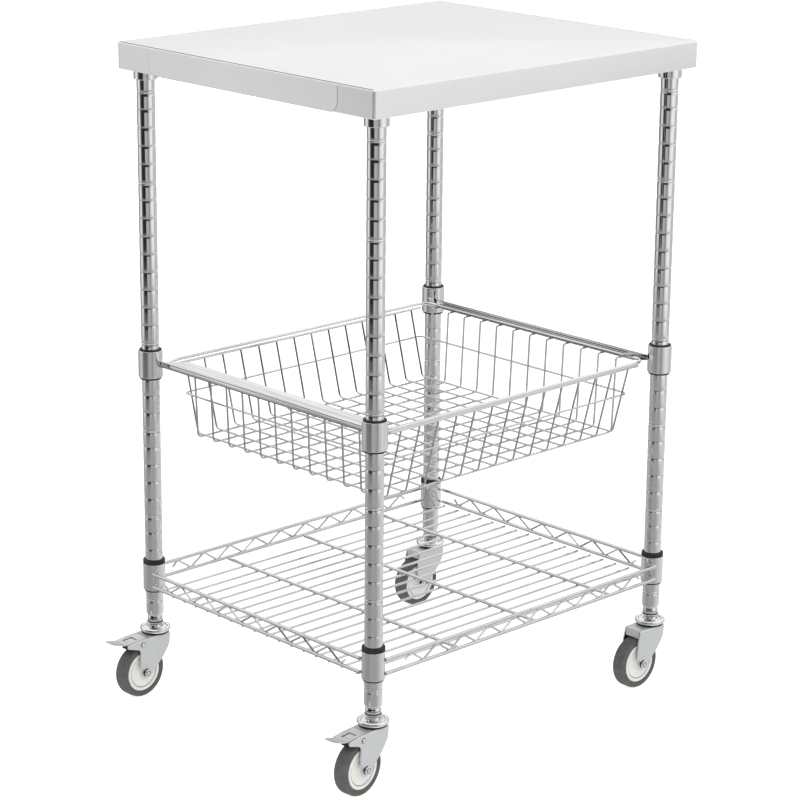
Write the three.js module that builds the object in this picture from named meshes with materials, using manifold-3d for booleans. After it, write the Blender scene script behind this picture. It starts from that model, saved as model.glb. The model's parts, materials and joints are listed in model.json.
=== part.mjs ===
// Kitchen island cart: a stainless worktop on four chromed posts, with a pull-out wire basket,
// a wire shelf and four swivel casters, two of them braked.
// Millimetres, +Z up. The floor is z = 0 and the basket pulls out towards -Y.
import * as THREE from 'three';
import * as BufferGeometryUtils from 'three/addons/utils/BufferGeometryUtils.js';
import Module from 'manifold-3d';

const wasm = await Module();
wasm.setup();

// ---- Driving dimensions ----
const gap = 0.3; // room between pieces that touch
const through = 1; // how far a cutter passes the faces it cuts
const top = { length: 610, width: 512, height: 945, depth: 37.5, sheet: 1.2, corner: 5, lip: 8 };
const post = { x: 277, y: 230.5, radius: 12.5, wall: 1.2, bottom: 117 };
const socket = { radius: 16.35, bore: 12.9, bottom: 894, roof: 2.2 };
const insert = { length: 33, bore: 5.35 };
const basketCollar = { radius: 17.25, bore: 14.9, bottom: 471.5, top: 510 };
const basketSleeve = {
  bore: 12.8, radius: 14.6, lipRadius: 15.6, footRadius: 15.5, bottom: 469.7, top: 513,
};
const shelfCollar = { radius: 16, bore: 14.6, bottom: 155.8, top: 192.5 };
const shelfSleeve = {
  bore: 12.8, radius: 14.3, lipRadius: 15.8, footRadius: 14.3, bottom: 153.5, top: 201,
};
const rail = { web: 270, topLip: 241, bottomLip: 254.5, sheet: 1.2, bottom: 486.3, height: 8.7, bite: 0.6 };
const rim = { x: 255.5, y: 224, z: 490.5, radius: 2.5, corner: 25 };
const basket = {
  floorX: 228, floorY: 195, floorZ: 384, topX: 233.5, topY: 222, topZ: 487.5, midZ: 442,
  pitch: 34, wire: 3, longWires: 12, crossWires: 14, underRim: 241, ledge: 20,
};
const truss = {
  x: 289, y: 244, rod: 5.5, bottom: 160.25, height: 25, snake: 3.2,
  endPitch: 49.6, endBends: 19, sidePitch: 51.5, sideBends: 15, endInset: 9,
};
const mat = {
  wire: 3.8, pitch: 25.4, pairs: 7, edge: 208, halfLength: 291, rod: 5, rods: [-128, 22, 176], weld: 1,
};
const wheel = { radius: 38, tread: 21.6, sidewall: 33, shoulder: 2.2, trail: 31 };
const disc = { radius: 29.2, width: 26, boss: 8, web: 7.5, rim: 3.7, bevel: 1 };
const fork = {
  inner: 13.3, sheet: 2.2, crown: 89.4, lead: 15, trail: 37, foot: 10, hole: 4.35,
  skirt: 77.5, brakedCrown: 22,
};
// A cheek's leading edge going up from the axle bolt, and the ear of a braked cheek, whose
// heights are counted from the crown. Both are [x, z] points.
const leadingEdge = [[1, 54], [13.5, 72]];
const earEdge = [[-16, 0], [-44, 0], [-65, -2.3], [-63, -8], [-43, -14.4]];
const axle = { radius: 4, headRadius: 7.5, headDepth: 5 };
const cup = { radius: 22, bottom: 89.8, top: 98.8, bevel: 2.2, shoulder: 2.9 };
const head = { kingpin: 8, drop: 3.3, neck: 8, neckStart: 100.5, nut: 11, nutStart: 107.5, stemInset: 4 };
const brake = { x: -36, z: 81.7, pin: 2, rivet: 3.6, rivetDepth: 1.5, reach: 88, width: 25, sheet: 1.6 };
const pedal = {
  root: -24, dip: -66, dipDrop: 1, tipRise: 5.6, paddle: -62, window: [-52, -38, 7], shoe: [-52, -46, 5.5],
};
// Each caster: which post, its side signs, how far it is turned at rest, and whether it has a brake.
const corners = [
  { name: 'front_left', sx: -1, sy: -1, turn: 6, braked: true },
  { name: 'front_right', sx: 1, sy: -1, turn: 0, braked: false },
  { name: 'rear_left', sx: -1, sy: 1, turn: 2, braked: true },
  { name: 'rear_right', sx: 1, sy: 1, turn: 0, braked: false },
];
// The brake pedals reach past the worktop on one side, so the posts stand this far from the
// centre of the whole cart's outline.
const postsShift = (post.x + brake.reach - top.length / 2) / 2;

const metal = (color, roughness) => new THREE.MeshStandardMaterial({ color, roughness, metalness: 1 });
const plastic = (color, roughness) => new THREE.MeshStandardMaterial({ color, roughness, metalness: 0 });
const finish = {
  stainless: () => metal(0xdcdddf, 0.32),
  board: () => plastic(0xb59a74, 0.85),
  chrome: () => metal(0xc8cacd, 0.12),
  wire: () => metal(0xc4c5c8, 0.2),
  zinc: () => metal(0xc6cacb, 0.4),
  black: () => plastic(0x1b1b1c, 0.5),
  tyre: () => plastic(0x666566, 0.75),
  hub: () => plastic(0xe6e3da, 0.5),
};

// ---- Solids ----
// A closed three.js geometry as a manifold solid, with its faces turned outwards.
function solid(geometry) {
  const plain = geometry.clone();
  plain.deleteAttribute('normal');
  plain.deleteAttribute('uv');
  const merged = BufferGeometryUtils.mergeVertices(plain, 1e-4);
  const p = merged.attributes.position.array;
  const source = merged.index.array;
  const triangles = [];
  let volume = 0;
  for (let i = 0; i < source.length; i += 3) {
    const [a, b, c] = [source[i], source[i + 1], source[i + 2]];
    if (a === b || b === c || c === a) continue;
    triangles.push(a, b, c);
    const va = new THREE.Vector3().fromArray(p, 3 * a);
    const vb = new THREE.Vector3().fromArray(p, 3 * b);
    const vc = new THREE.Vector3().fromArray(p, 3 * c);
    volume += va.dot(vb.cross(vc));
  }
  if (volume < 0) triangles.reverse();
  const triVerts = new Uint32Array(triangles);
  return new wasm.Manifold(new wasm.Mesh({ numProp: 3, vertProperties: new Float32Array(p), triVerts }));
}

function join(solids) {
  return solids.reduce((sum, next) => sum.add(next));
}

function geometryOf(body) {
  const mesh = body.getMesh();
  const geometry = new THREE.BufferGeometry();
  geometry.setAttribute('position', new THREE.BufferAttribute(mesh.vertProperties, 3));
  geometry.setIndex(new THREE.BufferAttribute(mesh.triVerts, 1));
  geometry.computeVertexNormals();
  return geometry;
}

function piece(name, body, material) {
  const mesh = new THREE.Mesh(geometryOf(body), material);
  mesh.name = name;
  return mesh;
}

function block(x0, x1, y0, y1, z0, z1) {
  const geometry = new THREE.BoxGeometry(x1 - x0, y1 - y0, z1 - z0);
  return solid(geometry.translate((x0 + x1) / 2, (y0 + y1) / 2, (z0 + z1) / 2));
}

const plainExtrusion = { bevelEnabled: false, curveSegments: 4 };

// An outline in plan, standing from z0 to z1.
function upright(shape, z0, z1) {
  const geometry = new THREE.ExtrudeGeometry(shape, { ...plainExtrusion, depth: z1 - z0 });
  return solid(geometry.translate(0, 0, z0));
}

// An outline drawn in x and z, reaching from y0 to y1.
function sideways(shape, y0, y1) {
  const geometry = new THREE.ExtrudeGeometry(shape, { ...plainExtrusion, depth: y1 - y0 });
  return solid(geometry.rotateX(Math.PI / 2).translate(0, y1, 0));
}

// A profile of [radius, z] points turned about the Z axis. A ring's profile closes on itself.
function turned(profile, segments, closed = false) {
  const points = profile.map(([r, z]) => new THREE.Vector2(r, z));
  if (closed) points.push(points[0].clone());
  return solid(new THREE.LatheGeometry(points, segments).rotateX(Math.PI / 2));
}

function ring(inner, outer, z0, z1, segments = 24) {
  return turned([[inner, z0], [outer, z0], [outer, z1], [inner, z1]], segments, true);
}

function rod(radius, z0, z1, segments = 24) {
  return turned([[0, z0], [radius, z0], [radius, z1], [0, z1]], segments);
}

function cylinderAlongY(radius, y0, y1, x, z, sides) {
  const geometry = new THREE.CylinderGeometry(radius, radius, y1 - y0, sides);
  return solid(geometry.translate(x, (y0 + y1) / 2, z));
}

function polygon(points) {
  return new THREE.Shape(points.map(([x, y]) => new THREE.Vector2(x, y)));
}

function roundedRectangle(length, width, radius) {
  const [x, y] = [length / 2 - radius, width / 2 - radius];
  const shape = new THREE.Shape();
  shape.absarc(x, y, radius, 0, Math.PI / 2);
  shape.absarc(-x, y, radius, Math.PI / 2, Math.PI);
  shape.absarc(-x, -y, radius, Math.PI, 1.5 * Math.PI);
  shape.absarc(x, -y, radius, 1.5 * Math.PI, 2 * Math.PI);
  shape.closePath();
  return shape;
}

// ---- Worktop ----
const underside = top.height - top.depth;

function worktopSkin() {
  const { length, width, sheet, corner, lip } = top;
  const outside = upright(roundedRectangle(length, width, corner), underside, top.height);
  const hollow = roundedRectangle(length - 2 * sheet, width - 2 * sheet, corner - sheet);
  const opening = roundedRectangle(length - 2 * lip, width - 2 * lip, corner - sheet);
  return outside
    .subtract(upright(hollow, underside + sheet, top.height - sheet))
    .subtract(upright(opening, underside - 1, underside + sheet + gap));
}

function worktopCore() {
  const inset = 2 * (top.sheet + gap);
  const shape = roundedRectangle(top.length - inset, top.width - inset, top.corner - top.sheet);
  return upright(shape, underside + top.sheet + gap, top.height - top.sheet - gap);
}

// The cup under the worktop that a post's upper end stands in.
function postSocket() {
  const roof = underside + top.sheet;
  const { radius, bore, bottom } = socket;
  const ceiling = roof - socket.roof;
  const profile = [
    [0, roof], [radius, roof], [radius, bottom], [bore, bottom], [bore, ceiling], [0, ceiling],
  ];
  return turned(profile, 16);
}

// ---- Posts, with the threaded insert that takes a caster's stem ----
const postTop = underside + top.sheet - socket.roof - gap;

function postTube() {
  return ring(post.radius - post.wall, post.radius, post.bottom, postTop);
}

function postInsert() {
  const outer = post.radius - post.wall - gap;
  return ring(insert.bore, outer, post.bottom + gap, post.bottom + insert.length, 12);
}

// ---- Sleeves that lock a collar on its post ----
function sleeve({ bore, radius, lipRadius, footRadius, bottom, top: lipTop }, collar) {
  const lip = collar.top + gap;
  const foot = collar.bottom - gap;
  const below = footRadius > radius
    ? [[footRadius, bottom], [footRadius, foot], [radius, foot]]
    : [[radius, bottom]];
  return turned([
    [bore, bottom], ...below, [radius, lip], [lipRadius, lip], [lipRadius, lipTop], [bore, lipTop],
  ], 16, true);
}

// ---- Slide rail: a shallow channel, open inwards, with a collar welded on each end ----
function slideRail() {
  const { web, topLip, bottomLip, sheet, bottom, height } = rail;
  const end = post.y - basketCollar.bore + rail.bite;
  const flange = (lip, z) => {
    const cut = web - lip;
    const outline = [[web, -end], [web, end], [lip, end - cut], [lip, cut - end]];
    return upright(polygon(outline), z, z + sheet);
  };
  const collars = [];
  const bores = [];
  for (const side of [-1, 1]) {
    const place = (body) => body.translate([post.x, side * post.y, 0]);
    collars.push(place(rod(basketCollar.radius, basketCollar.bottom, basketCollar.top)));
    bores.push(place(rod(basketCollar.bore, basketCollar.bottom - through, basketCollar.top + through)));
  }
  const channel = [
    flange(bottomLip, bottom),
    flange(topLip, bottom + height - sheet),
    block(web - sheet, web, -end, end, bottom, bottom + height),
  ];
  return join([...channel, ...collars]).subtract(join(bores));
}

// ---- Basket ----
const half = basket.wire / 2;
const spread = (count, pitch) => Array.from({ length: count }, (_, i) => (i - (count - 1) / 2) * pitch);

// The floor's outermost wires lie where the walls rise, so they sit closer than the others.
function basketFloor() {
  const lines = (count, edge) => {
    const inner = spread(count, basket.pitch).filter((v) => Math.abs(v) < edge - 2 * basket.wire);
    return [half - edge, ...inner, edge - half];
  };
  const xs = lines(basket.crossWires - 2, basket.floorX);
  const ys = lines(basket.longWires - 2, basket.floorY);
  const [z0, z1] = [basket.floorZ - half, basket.floorZ + half];
  const openings = [];
  for (let i = 1; i < xs.length; i++) {
    for (let j = 1; j < ys.length; j++) {
      openings.push(block(xs[i - 1] + half, xs[i] - half, ys[j - 1] + half, ys[j] - half, z0 - 1, z1 + 1));
    }
  }
  const sheet = block(-basket.floorX, basket.floorX, -basket.floorY, basket.floorY, z0, z1);
  return sheet.subtract(join(openings));
}

// A wall is flat in its own frame: upright wires from v = 0, a middle wire, and on the front and
// back a stout wire close under the rim. The uprights of the sides turn outwards at their tops,
// by the length of the ledge, to reach the rim.
function basketWall(count, slope, middleHalf, topHalf, ledge) {
  const uprights = spread(count, basket.pitch).flatMap((u) => {
    const upright = block(u - half, u + half, -half, half, half + gap, slope);
    if (!ledge) return [upright];
    return [upright, block(u - half, u + half, -ledge, half, slope - basket.wire, slope)];
  });
  const rise = (basket.midZ - basket.floorZ) / (basket.topZ - basket.floorZ) * slope;
  const bars = [block(-middleHalf, middleHalf, -half, half, rise - half, rise + half)];
  if (topHalf) bars.push(block(-topHalf, topHalf, -half, half, slope - basket.wire, slope));
  return join([...uprights, ...bars]);
}

function basketRim() {
  const { x, y, z, radius, corner } = rim;
  const outside = roundedRectangle(2 * (x + radius), 2 * (y + radius), corner + radius);
  const inside = roundedRectangle(2 * (x - radius), 2 * (y - radius), corner - radius);
  return upright(outside, z - radius, z + radius)
    .subtract(upright(inside, z - radius - through, z + radius + through));
}

// ---- Shelf ----
// A truss: upper and lower rods with a bent wire between them that leaves triangular openings.
// The wire's bends lie half a pitch apart, and the first one is a crest or a dip.
function trussPlate(halfLength, pitch, bends, startsAtCrest) {
  const { rod, bottom, height, snake, y } = truss;
  const plate = block(-halfLength, halfLength, -rod / 2, rod / 2, bottom, bottom + height);
  const low = bottom + rod;
  const high = bottom + height - rod;
  const slant = snake / 2 * Math.hypot(pitch / 2, high - low) / (high - low);
  const reach = pitch / 2 - slant;
  const tip = (high - low) * reach / (pitch / 2);
  const openings = spread(bends, pitch / 2).map((u, i) => {
    const crest = (i % 2 === 0) === startsAtCrest;
    const base = crest ? low : high;
    const point = crest ? low + tip : high - tip;
    return sideways(polygon([[u - reach, base], [u + reach, base], [u, point]]), -rod, rod);
  });
  return plate.subtract(join(openings)).translate([0, -y, 0]);
}

// The front truss carries the two collars at its ends.
function endTruss() {
  const plate = trussPlate(post.x - truss.endInset, truss.endPitch, truss.endBends, true);
  const collars = [];
  const bores = [];
  for (const side of [-1, 1]) {
    const { radius, bore, bottom, top: end } = shelfCollar;
    const place = (body) => body.translate([side * post.x, -post.y, 0]);
    collars.push(place(rod(radius, bottom, end)));
    bores.push(place(rod(bore, bottom - through, end + through)));
  }
  return join([plate, ...collars]).subtract(join(bores));
}

function sideTruss() {
  const offset = truss.x - truss.rod / 2 - post.x;
  const halfLength = post.y - Math.sqrt(shelfCollar.radius ** 2 - offset ** 2) - gap;
  const plate = trussPlate(halfLength, truss.sidePitch, truss.sideBends, false);
  return plate.translate([0, truss.y - truss.x, 0]);
}

function shelfMat() {
  const crest = truss.bottom - gap;
  const rows = spread(2 * mat.pairs + 1, mat.pitch);
  const w = mat.wire / 2;
  const wires = [-mat.edge, ...rows, mat.edge]
    .map((y) => block(-mat.halfLength, mat.halfLength, y - w, y + w, crest - mat.wire, crest));
  const reach = truss.y - truss.rod / 2 - gap;
  const r = mat.rod / 2;
  const base = crest - mat.weld;
  const rods = mat.rods.map((x) => block(x - r, x + r, -reach, reach, base, base + mat.rod));
  return join([...wires, ...rods]);
}

// ---- Casters, each about its own swivel axis, trailing towards -X ----
function casterHead() {
  const { radius, bottom, top: crest, bevel, shoulder } = cup;
  const { kingpin, drop, neck, neckStart, nut, nutStart, stemInset } = head;
  const plate = fork.crown - fork.sheet;
  const stem = insert.bore - gap;
  const seat = post.bottom - gap;
  const tip = post.bottom + insert.length - stemInset;
  return turned([
    [0, plate - drop], [kingpin, plate - drop], [kingpin, plate - gap], [stem, plate - gap],
    [stem, bottom], [radius - bevel, bottom], [radius, bottom + bevel],
    [radius, crest - shoulder], [radius - shoulder, crest], [neck, neckStart],
    [neck, nutStart - 1], [nut, nutStart], [nut, seat], [stem, seat], [stem, tip], [0, tip],
  ], 12);
}

// One cheek in x and z. The braked fork's cheek has an ear that holds the pedal's pin.
function cheek(braked) {
  const { lead, trail, crown, foot } = fork;
  const back = braked ? earEdge.map(([x, z]) => [x, crown + z]) : [[-trail, crown]];
  const shape = new THREE.Shape();
  shape.moveTo(...back[0]);
  back.slice(1).forEach((point) => shape.lineTo(...point));
  shape.lineTo(-wheel.trail - foot, leadingEdge[1][1]);
  shape.absarc(-wheel.trail, wheel.radius, foot, Math.PI, 1.72 * Math.PI);
  leadingEdge.forEach((point) => shape.lineTo(...point));
  shape.lineTo(lead, crown);
  shape.closePath();
  return shape;
}

function casterFork(braked) {
  const { inner, sheet, crown, lead, trail, hole, skirt, brakedCrown } = fork;
  const outer = inner + sheet;
  const shape = cheek(braked);
  const parts = [
    sideways(shape, inner, outer),
    sideways(shape, -outer, -inner),
    block(braked ? -brakedCrown : -trail, lead, -outer, outer, crown - sheet, crown),
  ];
  const cuts = [
    rod(insert.bore + gap, crown - 2 * sheet, crown + through, 16),
    cylinderAlongY(hole, -outer - through, outer + through, -wheel.trail, wheel.radius, 12),
  ];
  if (braked) {
    cuts.push(cylinderAlongY(brake.pin + gap, -outer - through, outer + through, brake.x, brake.z, 12));
  } else {
    parts.push(block(-trail - sheet / 2, -trail + sheet / 2, -inner - gap, inner + gap, skirt, crown));
  }
  return join(parts).subtract(join(cuts));
}

// The tread's facets touch the wheel's true radius, with one of them flat on the floor.
function tyre() {
  const sides = 24;
  const { tread, radius, sidewall, shoulder } = wheel;
  const w = tread / 2;
  const grow = 1 / Math.cos(Math.PI / sides);
  const outer = radius * grow;
  const inner = (disc.radius + gap) * grow;
  const crest = w - 2 * shoulder;
  return wheelTurned([
    [inner, -w + disc.bevel], [sidewall, -w], [outer - shoulder, -w + disc.bevel], [outer, -crest],
    [outer, crest], [outer - shoulder, w - disc.bevel], [sidewall, w], [inner, w - disc.bevel],
  ], sides);
}

function wheelTurned(profile, sides) {
  const points = [...profile, profile[0]].map(([r, y]) => new THREE.Vector2(r, y));
  return solid(new THREE.LatheGeometry(points, sides, Math.PI / sides, 2 * Math.PI));
}

function hub() {
  const { radius: r, width, boss, web, rim: flange, bevel } = disc;
  const side = wheel.tread / 2 - bevel;
  const end = width / 2;
  const [inner, foot] = [r - flange, r - flange - bevel];
  return wheelTurned([
    [fork.hole, -end], [boss, -end], [boss, -web], [foot, -web], [inner, -side], [r, -side],
    [r, side], [inner, side], [foot, web], [boss, web], [boss, end], [fork.hole, end],
  ], 16);
}

function axleBolt() {
  const face = fork.inner + fork.sheet + gap;
  const end = face + axle.headDepth;
  const [x, z] = [-wheel.trail, wheel.radius];
  return join([
    cylinderAlongY(axle.radius, -end, end, x, z, 12),
    cylinderAlongY(axle.headRadius, -end, -face, x, z, 6),
    cylinderAlongY(axle.headRadius, face, end, x, z, 6),
  ]);
}

function brakePin() {
  const { x, z, pin, rivet, rivetDepth } = brake;
  const face = fork.inner + fork.sheet + gap;
  const end = face + rivetDepth;
  return join([
    cylinderAlongY(pin, -end, end, x, z, 12),
    cylinderAlongY(rivet, -end, -face, x, z, 12),
    cylinderAlongY(rivet, face, end, x, z, 12),
  ]);
}

// The pedal: a windowed plate level with the crown, a paddle that turns up at the toe, two ears
// round the pin, and a shoe that comes down on the tread.
function brakePedal() {
  const { reach, width, sheet, x, z, pin } = brake;
  const { root, dip, dipDrop, tipRise, paddle } = pedal;
  const crest = fork.crown;
  const w = width / 2;
  const profile = polygon([
    [root, crest], [dip, crest - dipDrop], [-reach, crest + tipRise], [-reach, crest + tipRise - sheet],
    [dip, crest - dipDrop - sheet], [root, crest - sheet],
  ]);
  const outline = new THREE.Shape();
  outline.moveTo(root, w);
  outline.lineTo(paddle, w);
  outline.absellipse(paddle, 0, reach + paddle, w, Math.PI / 2, 1.5 * Math.PI);
  outline.lineTo(root, -w);
  outline.closePath();
  const [from, to, halfWidth] = pedal.window;
  const plate = sideways(profile, -w, w).intersect(upright(outline, z, crest + tipRise + through));
  const opening = block(from, to, -halfWidth, halfWidth, z, crest + through);
  return join([plate.subtract(opening), ...pedalEars(w), pedalShoe(w)])
    .subtract(cylinderAlongY(pin + gap, -w - through, w + through, x, z, 12));
}

function pedalEars(w) {
  const { x, z, sheet } = brake;
  const crest = fork.crown;
  const [back, front, foot] = [x - 10, x + 8, z - 3];
  const ear = polygon([[back, foot], [front, foot], [front, crest - sheet], [back, crest - 2 * sheet]]);
  return [sideways(ear, w - gap - sheet, w - gap), sideways(ear, -w + gap, -w + gap + sheet)];
}

function pedalShoe(w) {
  const [from, to, drop] = pedal.shoe;
  return block(from, to, -w + through, w - through, brake.z - drop, fork.crown - pedal.dipDrop);
}

// ---- Assembly ----
function buildWorktop() {
  const group = new THREE.Group();
  group.add(piece('worktop_skin', worktopSkin(), finish.stainless()));
  group.add(piece('worktop_core', worktopCore(), finish.board()));
  return group;
}

function buildPosts() {
  const group = new THREE.Group();
  const shapes = [
    ['post_socket', postSocket(), finish.chrome], ['post', postTube(), finish.chrome],
    ['post_insert', postInsert(), finish.zinc],
    ['basket_sleeve', sleeve(basketSleeve, basketCollar), finish.black],
    ['shelf_sleeve', sleeve(shelfSleeve, shelfCollar), finish.black],
  ];
  for (const corner of corners) {
    for (const [name, body, colour] of shapes) {
      const mesh = piece(`${name}_${corner.name}`, body, colour());
      mesh.position.set(corner.sx * post.x, corner.sy * post.y, 0);
      group.add(mesh);
    }
  }
  return group;
}

function buildRails() {
  const group = new THREE.Group();
  const body = slideRail();
  for (const [side, turn] of [['right', 0], ['left', Math.PI]]) {
    const mesh = piece(`slide_rail_${side}`, body, finish.chrome());
    mesh.rotation.z = turn;
    group.add(mesh);
  }
  return group;
}

function buildBasket() {
  const group = new THREE.Group();
  const { floorX, floorY, floorZ, topX, topY, topZ, midZ, longWires, crossWires } = basket;
  const rise = topZ - floorZ;
  const share = (midZ - floorZ) / rise;
  const middle = (low, high) => low + share * (high - low) - basket.wire;
  const endSlope = Math.hypot(rise, topY - floorY);
  const sideSlope = Math.hypot(rise, topX - floorX);
  const end = basketWall(crossWires, endSlope, middle(floorX, topX), basket.underRim, 0);
  const side = basketWall(longWires, sideSlope, middle(floorY, topY), 0, basket.ledge);
  const walls = [
    ['basket_front', end, 0, floorY, topY], ['basket_right', side, 1, floorX, topX],
    ['basket_back', end, 2, floorY, topY], ['basket_left', side, 3, floorX, topX],
  ];
  for (const [name, body, quarter, low, high] of walls) {
    const mesh = piece(name, body, finish.wire());
    mesh.position.y = -low;
    mesh.rotation.x = Math.atan2(high - low, rise);
    const stand = new THREE.Group();
    stand.position.z = floorZ;
    stand.rotation.z = quarter * Math.PI / 2;
    stand.add(mesh);
    group.add(stand);
  }
  group.add(piece('basket_floor', basketFloor(), finish.wire()));
  group.add(piece('basket_rim', basketRim(), finish.wire()));
  return group;
}

function buildShelf() {
  const group = new THREE.Group();
  const [end, side] = [endTruss(), sideTruss()];
  const trusses = [['front', end], ['right', side], ['back', end], ['left', side]];
  trusses.forEach(([name, body], quarter) => {
    const mesh = piece(`shelf_truss_${name}`, body, finish.wire());
    mesh.rotation.z = quarter * Math.PI / 2;
    group.add(mesh);
  });
  group.add(piece('shelf_mat', shelfMat(), finish.wire()));
  return group;
}

function buildCaster(corner) {
  const group = new THREE.Group();
  group.position.set(corner.sx * post.x, corner.sy * post.y, 0);
  const swivel = new THREE.Group();
  swivel.rotation.z = THREE.MathUtils.degToRad(corner.turn);
  group.add(piece(`caster_head_${corner.name}`, casterHead(), finish.chrome()), swivel);
  swivel.add(piece(`caster_fork_${corner.name}`, casterFork(corner.braked), finish.zinc()));
  swivel.add(piece(`axle_bolt_${corner.name}`, axleBolt(), finish.zinc()));
  for (const [name, body, colour] of [['tyre', tyre(), finish.tyre()], ['hub', hub(), finish.hub()]]) {
    const mesh = piece(`${name}_${corner.name}`, body, colour);
    mesh.position.set(-wheel.trail, 0, wheel.radius);
    swivel.add(mesh);
  }
  if (corner.braked) {
    swivel.add(piece(`brake_pedal_${corner.name}`, brakePedal(), finish.zinc()));
    swivel.add(piece(`brake_pin_${corner.name}`, brakePin(), finish.zinc()));
  }
  return group;
}

const cart = new THREE.Group();
cart.add(buildWorktop(), buildPosts(), buildRails(), buildBasket(), buildShelf());
corners.forEach((corner) => cart.add(buildCaster(corner)));
cart.position.x = postsShift;

export default cart;
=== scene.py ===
"""The looks of a kitchen island cart: grooved chrome posts, a stainless worktop, a pull-out wire
basket, a trussed wire shelf and swivel casters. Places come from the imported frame."""
import json
import math

import bmesh
import bpy
from mathutils import Matrix, Vector


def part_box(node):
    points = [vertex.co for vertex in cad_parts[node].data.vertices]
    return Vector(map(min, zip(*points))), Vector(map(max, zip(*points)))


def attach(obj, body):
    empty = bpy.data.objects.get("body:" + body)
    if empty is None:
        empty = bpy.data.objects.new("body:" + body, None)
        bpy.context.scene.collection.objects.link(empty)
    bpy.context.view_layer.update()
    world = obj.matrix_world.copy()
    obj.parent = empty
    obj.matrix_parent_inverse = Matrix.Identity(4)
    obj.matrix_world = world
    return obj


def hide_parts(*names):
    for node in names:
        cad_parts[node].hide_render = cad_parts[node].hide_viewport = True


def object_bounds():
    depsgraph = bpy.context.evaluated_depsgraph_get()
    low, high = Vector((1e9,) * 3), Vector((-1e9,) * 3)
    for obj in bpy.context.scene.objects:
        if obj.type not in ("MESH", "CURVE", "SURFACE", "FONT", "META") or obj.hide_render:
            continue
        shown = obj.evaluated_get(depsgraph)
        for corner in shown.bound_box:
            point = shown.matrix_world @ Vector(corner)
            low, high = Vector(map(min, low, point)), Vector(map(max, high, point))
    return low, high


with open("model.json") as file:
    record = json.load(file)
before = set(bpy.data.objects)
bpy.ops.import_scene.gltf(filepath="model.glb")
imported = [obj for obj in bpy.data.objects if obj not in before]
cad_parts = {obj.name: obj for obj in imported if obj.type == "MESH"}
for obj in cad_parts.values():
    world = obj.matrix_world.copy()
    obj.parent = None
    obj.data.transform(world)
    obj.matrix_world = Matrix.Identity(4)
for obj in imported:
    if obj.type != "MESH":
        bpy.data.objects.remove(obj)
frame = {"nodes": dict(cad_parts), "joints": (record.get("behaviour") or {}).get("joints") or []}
CAD_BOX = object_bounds()

MM = 0.001
CORNERS = ("front_left", "front_right", "rear_left", "rear_right")
BRAKED = ("front_left", "rear_left")


# ---- Places read from the frame ----
def middle(node):
    low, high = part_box(node)
    return (low + high) / 2


def extent(node):
    low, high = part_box(node)
    return high - low


POSTS = {corner: middle(f"post_{corner}") for corner in CORNERS}
UPRIGHT = {corner: Matrix.Translation((spot.x, spot.y, 0)) for corner, spot in POSTS.items()}
CENTRE = sum(POSTS.values(), Vector()) / len(POSTS)
POST_X = (POSTS["front_right"].x - POSTS["front_left"].x) / 2
POST_Y = (POSTS["rear_left"].y - POSTS["front_left"].y) / 2
POST_RADIUS = extent("post_front_left").x / 2
POST_BOTTOM, POST_TOP = (corner.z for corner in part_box("post_front_left"))
JOINTS = {joint["name"]: joint for joint in frame["joints"]}


# ---- Mesh building ----
# A turned point this close to its axis is a pole.
POLE = 1e-7


def mm(points):
    """Points written in millimetres, in metres."""
    return [tuple(value * MM for value in point) for point in points]


def raised(points, base):
    """(distance, height) points in millimetres, with their heights counted from base."""
    return [(distance, base + height) for distance, height in mm(points)]


def placed(name, data):
    """A new object in the scene."""
    obj = bpy.data.objects.new(name, data)
    bpy.context.scene.collection.objects.link(obj)
    return obj


def piece(name, bm, material, body, slot, nodes=(), sharp=35):
    """Turns a bmesh into a shaded object that rides on a body and may stand for CAD nodes."""
    bmesh.ops.recalc_face_normals(bm, faces=bm.faces)
    mesh = bpy.data.meshes.new(name)
    bm.to_mesh(mesh)
    bm.free()
    mesh.materials.append(material)
    mesh.polygons.foreach_set("use_smooth", [True] * len(mesh.polygons))
    mesh.set_sharp_from_angle(angle=math.radians(sharp))
    obj = placed(name, mesh)
    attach(obj, body)
    if nodes:
        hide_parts(*nodes)
    return obj


def add_row(bm, spots, place=Matrix.Identity(4)):
    return [bm.verts.new(place @ Vector(spot)) for spot in spots]


def bridge(bm, rows, closed=True, loop=False):
    """Faces between rows of equally many points. closed joins each row's own ends, and loop the
    last row to the first."""
    for lower, upper in zip(rows, rows[1:] + (rows[:1] if loop else [])):
        count = len(lower)
        for k in range(count if closed else count - 1):
            after = (k + 1) % count
            bm.faces.new((lower[k], lower[after], upper[after], upper[k]))


def add_lathe(bm, profile, segments=48, closed=False, place=Matrix.Identity(4)):
    """Turns (radius, height) points about Z. Points on the axis become poles."""
    rings = []
    for radius, height in profile:
        count = segments if radius > POLE else 1
        turns = [2 * math.pi * k / segments for k in range(count)]
        spots = [(radius * math.cos(t), radius * math.sin(t), height) for t in turns]
        rings.append(add_row(bm, spots, place))
    for lower, upper in zip(rings, rings[1:] + (rings[:1] if closed else [])):
        if len(lower) == len(upper):
            if len(lower) > 1:
                bridge(bm, [lower, upper])
            continue
        for k in range(segments):
            after = (k + 1) % segments
            if len(lower) == 1:
                bm.faces.new((lower[0], upper[after], upper[k]))
            else:
                bm.faces.new((lower[k], lower[after], upper[0]))


def add_lathe_pair(bm, profile, segments, closed, place):
    """The same turned shape at both ends of an axle."""
    for side in (-1, 1):
        faced = [(radius, side * height) for radius, height in profile]
        add_lathe(bm, faced, segments, closed, place)


def turned(name, profile, segments, place, *look, closed=True):
    """A piece turned from one profile. look is what piece() takes after the mesh."""
    bm = bmesh.new()
    add_lathe(bm, profile, segments, closed, place)
    return piece(name, bm, *look)


def band(inner, outer, low, high):
    """The profile of a plain ring, or of a disc where inner is 0."""
    return [(inner, low), (outer, low), (outer, high), (inner, high)]


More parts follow.
